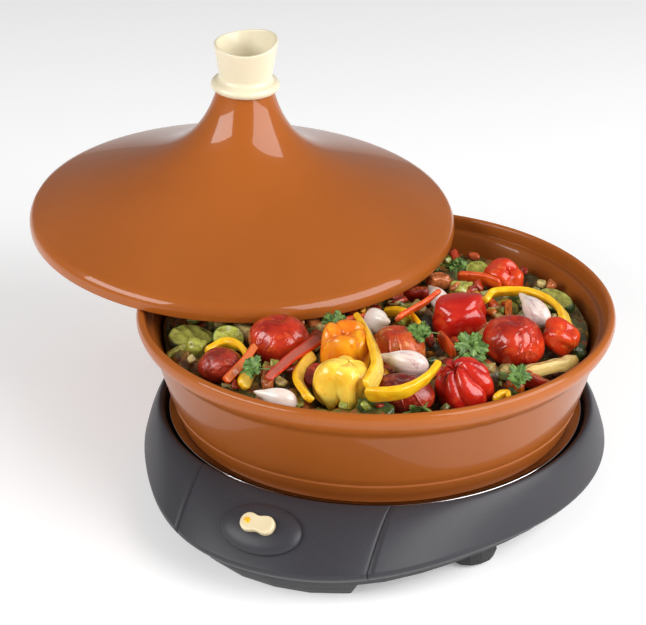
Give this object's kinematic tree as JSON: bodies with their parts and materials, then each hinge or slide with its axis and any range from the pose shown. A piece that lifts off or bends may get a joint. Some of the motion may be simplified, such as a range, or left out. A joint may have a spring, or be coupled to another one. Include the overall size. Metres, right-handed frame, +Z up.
{
  "type": "tagine of vegetables on an electric base",
  "caption": "Round glazed clay dish of roasted vegetables on an oval electric heating base, with a flared conical lid set down askew on the rim.",
  "frame": {"origin": "middle of the underside of the bounding box, on the surface that the feet stand on", "axes": "+Z up, control panel towards -Y, +X to the right seen from the panel"},
  "size_m": [0.475, 0.4456, 0.2891],
  "materials": {
    "clay_glaze": "glossy terracotta glaze",
    "cream_glaze": "glossy cream glaze",
    "cream_plastic": "smooth cream plastic",
    "grey_plastic": "satin dark grey with a fine sparkle",
    "black_plastic": "matt black",
    "rubber_foot": "matt black",
    "polished_steel": "polished",
    "amber_lens": "clear amber",
    "vegetable_bed": "moist cooked vegetables",
    "tomato": "shiny wrinkled skin",
    "cut_tomato": "moist flesh",
    "red_pepper": "shiny skin",
    "yellow_pepper": "shiny skin",
    "orange_pepper": "shiny skin",
    "garlic": "papery skin with pink stripes",
    "coriander": "fresh leaf",
    "courgette": "moist flesh with green skin"
  },
  "bodies": {
    "tagine": {"dish": "clay_glaze", "lid": "clay_glaze", "lid_handle": "cream_glaze", "base_shell": "grey_plastic", "control_panel": "grey_plastic", "knob_boss": "grey_plastic", "base_underside": "black_plastic", "front_keel": "black_plastic", "cord_gland": "black_plastic", "foot_1": "rubber_foot", "foot_2": "rubber_foot", "foot_3": "rubber_foot", "foot_4": "rubber_foot", "heating_tray": "polished_steel", "food_bed": "vegetable_bed", "tomato_1": "tomato", "tomato_2": "tomato", "tomato_half_1": "cut_tomato", "tomato_half_2": "cut_tomato", "tomato_half_3": "cut_tomato", "tomato_half_4": "cut_tomato", "tomato_half_5": "cut_tomato", "pepper_red_block": "red_pepper", "pepper_red_bonnet": "red_pepper", "pepper_red_back": "red_pepper", "pepper_yellow_bonnet": "yellow_pepper", "pepper_orange_bonnet": "orange_pepper", "pepper_orange_piece": "orange_pepper", "strip_yellow_1": "yellow_pepper", "strip_yellow_2": "yellow_pepper", "strip_yellow_3": "yellow_pepper", "strip_yellow_4": "yellow_pepper", "strip_yellow_5": "yellow_pepper", "strip_yellow_6": "yellow_pepper", "strip_yellow_7": "yellow_pepper", "strip_red_1": "red_pepper", "strip_red_2": "red_pepper", "strip_red_3": "orange_pepper", "strip_red_4": "red_pepper", "strip_red_6": "red_pepper", "strip_orange_1": "orange_pepper", "garlic_1": "garlic", "garlic_2": "garlic", "garlic_3": "garlic", "garlic_4": "garlic", "garlic_5": "garlic", "coriander_1": "coriander", "coriander_2": "coriander", "coriander_3": "coriander", "coriander_4": "coriander", "coriander_5": "coriander", "coriander_7": "coriander", "coriander_8": "coriander", "courgette_1": "courgette", "courgette_3": "courgette", "courgette_4": "courgette", "courgette_5": "courgette", "courgette_7": "courgette"},
    "knob": {"control_knob": "cream_plastic", "knob_lens": "amber_lens"}
  },
  "joints": [
    {"name": "knob_turn", "type": "hinge", "parent": "tagine", "child": "knob", "pos_m": [0.06205, -0.20724, 0.05309], "axis": [0, -0.5768, 0.8169], "range_deg": [-120, 0]}
  ]
}
